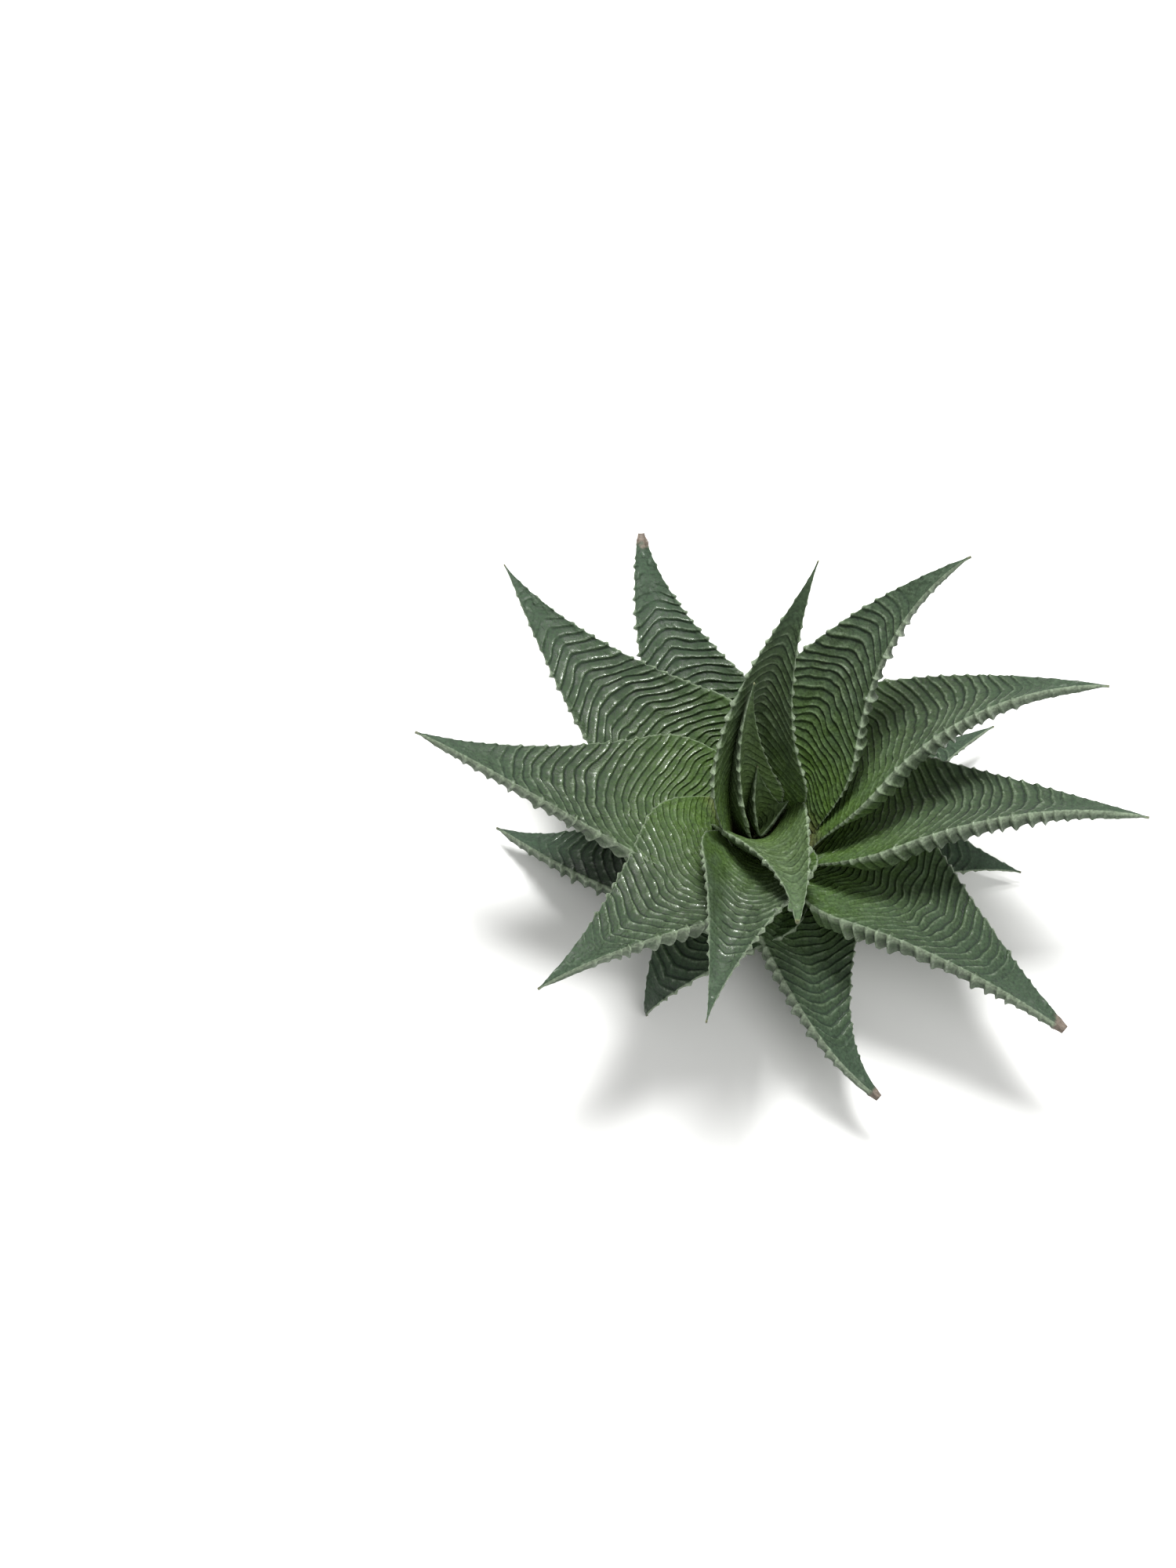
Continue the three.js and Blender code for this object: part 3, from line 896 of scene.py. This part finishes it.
@dataclass
class Stem:
    """The short stem, with its cut face, its leaf scars and its root stubs. Lengths are in millimetres."""

    stump_radius: float = 7.0
    stem_radius: float = 4.4
    top_radius: float = 2.4
    height: float = 20.0
    foot_height: float = 0.8
    stump_height: float = 3.4
    flare_fall: float = 12.0
    scars: int = 10
    scar_depth: float = 0.35
    cork_size: float = 1.1
    cork_depth: float = 0.25
    roots: int = 7
    root_radius: float = 1.2
    root_taper: float = 0.93
    root_length: Pair = (4.5, 7.3)
    root_sections: int = 6
    root_start: float = 0.4
    root_sunk: float = 3.0
    root_level: float = 1.7
    root_sway: Pair = (0.1, 0.06)
    root_cork_depth: float = 0.15

    SIDES = 48
    ROOT_SIDES = 16
    FACES_UP = 0.9

    @staticmethod
    def lean_at(level: float) -> float:
        """Gives how far the stem's axis has leaned to the left at a height."""
        share = (level - Leaf.LOWEST_SEAT) / (Leaf.SEAT_STEP * (Leaf.LEAVES - 1))
        return Leaf.CROWN_LEAN * max(0.0, share) ** 2

    def build_core(self, material: bpy.types.Material) -> bpy.types.Object:
        """Models the stem from a cylinder, drawn up ring by ring, with a narrow sunken band at every leaf
        scar.

        Args:
            material: the stem's finish.

        Returns:
            The stem.
        """
        bpy.ops.object.select_all(action="DESELECT")
        radius, level = self.stump_radius, self.foot_height
        bpy.ops.mesh.primitive_cylinder_add(
            vertices=self.SIDES, radius=radius * MM, depth=level * MM, location=(0, 0, level / 2 * MM)
        )
        stem = bpy.context.active_object
        stem.name = stem.data.name = "stem_core"
        bpy.ops.object.transform_apply(location=True, rotation=True, scale=True)
        self.select_top(stem)
        steps = 2 * self.scars
        for step in range(steps + 1):
            share = step / steps
            flare = (self.stump_radius - self.stem_radius) * math.exp(-self.flare_fall * share)
            taper = self.stem_radius + (self.top_radius - self.stem_radius) * share**3
            wanted = taper + flare - (self.scar_depth if step % 2 else 0.0)
            rise = self.stump_height + (self.height - self.stump_height) * share - level
            shift = self.lean_at(level + rise) - self.lean_at(level)
            bpy.ops.mesh.extrude_region_move(TRANSFORM_OT_translate={"value": (shift * MM, 0, rise * MM)})
            level += rise
            scale = wanted / radius
            centre = (self.lean_at(level) * MM, 0, level * MM)
            bpy.ops.transform.resize(value=(scale, scale, 1), center_override=centre)
            radius = wanted
        self.point_faces_out()
        self.roughen(stem, self.cork_depth)
        return self.dress(stem, material)

    def build_roots(self, material: bpy.types.Material) -> bpy.types.Object:
        """Models the root stubs one by one, each of its own length and bend, and joins them.

        Args:
            material: the stubs' finish.

        Returns:
            All the stubs as one piece.
        """
        stubs = [self.build_stub(turn) for turn in range(self.roots)]
        bpy.ops.object.select_all(action="DESELECT")
        for stub in stubs:
            stub.select_set(True)
        bpy.context.view_layer.objects.active = stubs[0]
        bpy.ops.object.join()
        roots = bpy.context.active_object
        roots.name = roots.data.name = "root_stubs"
        self.roughen(roots, self.root_cork_depth)
        return self.dress(roots, material)

    def build_stub(self, turn: int) -> bpy.types.Object:
        """Models a root stub as a tapering, slightly bent peg, and lays it out of the stem's foot.

        Args:
            turn: its number round the stem, which gives its direction, length and bend.

        Returns:
            The stub.
        """
        shortest, longest = self.root_length
        length = shortest + (longest - shortest) * (1 + math.cos(3 * turn)) / 2
        azimuth = turn / self.roots * 2 * math.pi + 0.35 * math.sin(5 * turn)
        bpy.ops.object.select_all(action="DESELECT")
        bpy.ops.mesh.primitive_cylinder_add(
            vertices=self.ROOT_SIDES, radius=self.root_radius * MM, depth=self.root_start * MM
        )
        stub = bpy.context.active_object
        self.select_top(stub)
        for section in range(self.root_sections):
            sway = self.root_sway[0] * math.sin(2.1 * turn + section)
            swing = self.root_sway[1] * math.cos(1.3 * turn + 2 * section)
            step = (sway * MM, swing * MM, length / self.root_sections * MM)
            bpy.ops.mesh.extrude_region_move(TRANSFORM_OT_translate={"value": step})
            bpy.ops.transform.resize(value=(self.root_taper, self.root_taper, 1))
        self.point_faces_out()
        foot = Vector(((self.stump_radius - self.root_sunk) * MM, 0, self.root_level * MM))
        lie_down = Matrix.Rotation(math.pi / 2, 4, "Y")
        stub.data.transform(Matrix.Rotation(azimuth, 4, "Z") @ Matrix.Translation(foot) @ lie_down)
        return stub

    @classmethod
    def select_top(cls, piece: bpy.types.Object) -> None:
        """Goes into edit mode with only the piece's upper faces selected, ready to be extruded.

        Args:
            piece: the piece.
        """
        bpy.ops.object.mode_set(mode="EDIT")
        bpy.ops.mesh.select_all(action="DESELECT")
        bpy.ops.object.mode_set(mode="OBJECT")
        for face in piece.data.polygons:
            face.select = face.normal.z > cls.FACES_UP
        bpy.ops.object.mode_set(mode="EDIT")

    @staticmethod
    def point_faces_out() -> None:
        """Turns all faces of the piece that is being edited outwards, and leaves edit mode."""
        bpy.ops.mesh.select_all(action="SELECT")
        bpy.ops.mesh.normals_make_consistent(inside=False)
        bpy.ops.object.mode_set(mode="OBJECT")

    def roughen(self, piece: bpy.types.Object, depth: float) -> None:
        """Gives a piece a rough corky skin by a subdivision and a displacement, both applied.

        Args:
            piece: the piece.
            depth: how far its skin moves, in millimetres.
        """
        cork = bpy.data.textures.new("cork", "CLOUDS")
        cork.noise_scale = self.cork_size * MM
        finer = piece.modifiers.new("finer", "SUBSURF")
        finer.levels = finer.render_levels = 2
        rough = piece.modifiers.new("rough", "DISPLACE")
        rough.texture = cork
        rough.texture_coords = "LOCAL"
        rough.strength = depth * MM
        rough.mid_level = 1.0
        for modifier in ("finer", "rough"):
            bpy.ops.object.modifier_apply(modifier=modifier)

    @staticmethod
    def dress(piece: bpy.types.Object, material: bpy.types.Material) -> bpy.types.Object:
        """Finishes a piece of the stem and lets it stand for the stem.

        Args:
            piece: the piece.
            material: its finish.

        Returns:
            The piece.
        """
        bpy.ops.object.shade_smooth()
        piece.data.materials.clear()
        piece.data.materials.append(material)
        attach(piece, ROOT_BODY)
        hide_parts("stem")
        return piece


@dataclass(frozen=True)
class Lamp:
    """A square soft lamp that points at the rosette. Place and size are in metres, power in watts."""

    name: str
    place: Triple
    size: float
    power: float


@dataclass
class Studio:
    """A pale floor, soft light from above, and the camera. Lengths are in metres, angles in degrees."""

    elevation: float = 65.0
    distance: float = 0.9
    aim: Pair = (-0.0382, 0.0171)
    lens_mm: float = 99.7
    sensor_mm: float = 36.0
    floor_radius: float = 9.0
    paper: str = "#f4f4f2"
    paper_roughness: float = 0.9
    sky: float = 0.45
    lamps: tuple[Lamp, ...] = (
        Lamp("key", (0.02, 0.4, 0.8), 0.28, 11.0),
        Lamp("fill", (0.35, -0.5, 0.8), 0.6, 3.5),
    )

    def build(self) -> None:
        """Makes the floor, the lights and the camera."""
        self.build_floor()
        self.build_lights()
        self.build_camera()

    def build_floor(self) -> None:
        """Makes a wide floor of matt white paper, which shows only soft shadows."""
        bpy.ops.object.select_all(action="DESELECT")
        bpy.ops.mesh.primitive_circle_add(vertices=96, radius=self.floor_radius, fill_type="NGON")
        floor = bpy.context.active_object
        floor.name = "floor"
        material, _, shader = new_material("matt_white_paper")
        shader.inputs["Base Color"].default_value = linear(self.paper)
        shader.inputs["Roughness"].default_value = self.paper_roughness
        floor.data.materials.append(material)

    def build_lights(self) -> None:
        """Makes a pale sky and two soft lamps."""
        world = bpy.data.worlds.new("pale_studio")
        world.use_nodes = True
        sky = world.node_tree.nodes["Background"]
        sky.inputs["Color"].default_value = (1.0, 1.0, 1.0, 1.0)
        sky.inputs["Strength"].default_value = self.sky
        bpy.context.scene.world = world
        for lamp in self.lamps:
            self.add_lamp(lamp)

    @staticmethod
    def add_lamp(lamp: Lamp) -> None:
        """Adds a lamp.

        Args:
            lamp: the lamp.
        """
        light = bpy.data.lights.new(lamp.name, "AREA")
        light.shape = "SQUARE"
        light.size = lamp.size
        light.energy = lamp.power
        holder = bpy.data.objects.new(lamp.name, light)
        holder.location = lamp.place
        holder.rotation_euler = (-Vector(lamp.place)).to_track_quat("-Z", "Y").to_euler()
        bpy.context.scene.collection.objects.link(holder)

    def build_camera(self) -> None:
        """Makes the camera, which looks along +Y and down, aimed a little up and left of the rosette.

        The scene's view transform is the plain one, because the photo's colours are plain sRGB.
        """
        slope = math.radians(self.elevation)
        up = Vector((0, math.sin(slope), math.cos(slope)))
        back = Vector((0, -math.cos(slope), math.sin(slope)))
        data = bpy.data.cameras.new("camera")
        data.lens = self.lens_mm
        data.sensor_width = self.sensor_mm
        camera = bpy.data.objects.new("camera", data)
        camera.location = Vector((self.aim[0], 0, 0)) + up * self.aim[1] + back * self.distance
        camera.rotation_euler = (math.radians(90 - self.elevation), 0, 0)
        bpy.context.scene.collection.objects.link(camera)
        bpy.context.scene.camera = camera
        bpy.context.scene.view_settings.view_transform = "Standard"


def main() -> None:
    """Builds the leaves, the stem and the studio, in that order."""
    logging.basicConfig(level=logging.INFO, format="%(message)s")
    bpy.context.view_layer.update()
    skin = LeafSkin().build()
    bark = StemBark().build()
    relief = Relief()
    for leaf in LEAVES:
        piece = leaf.build(relief, skin)
        LOG.info("%s: %d faces", piece.name, len(piece.data.polygons))
    stem = Stem()
    for piece in (stem.build_core(bark), stem.build_roots(bark)):
        LOG.info("%s: %d faces", piece.name, len(piece.data.polygons))
    Studio().build()


if __name__ == "__main__":
    main()
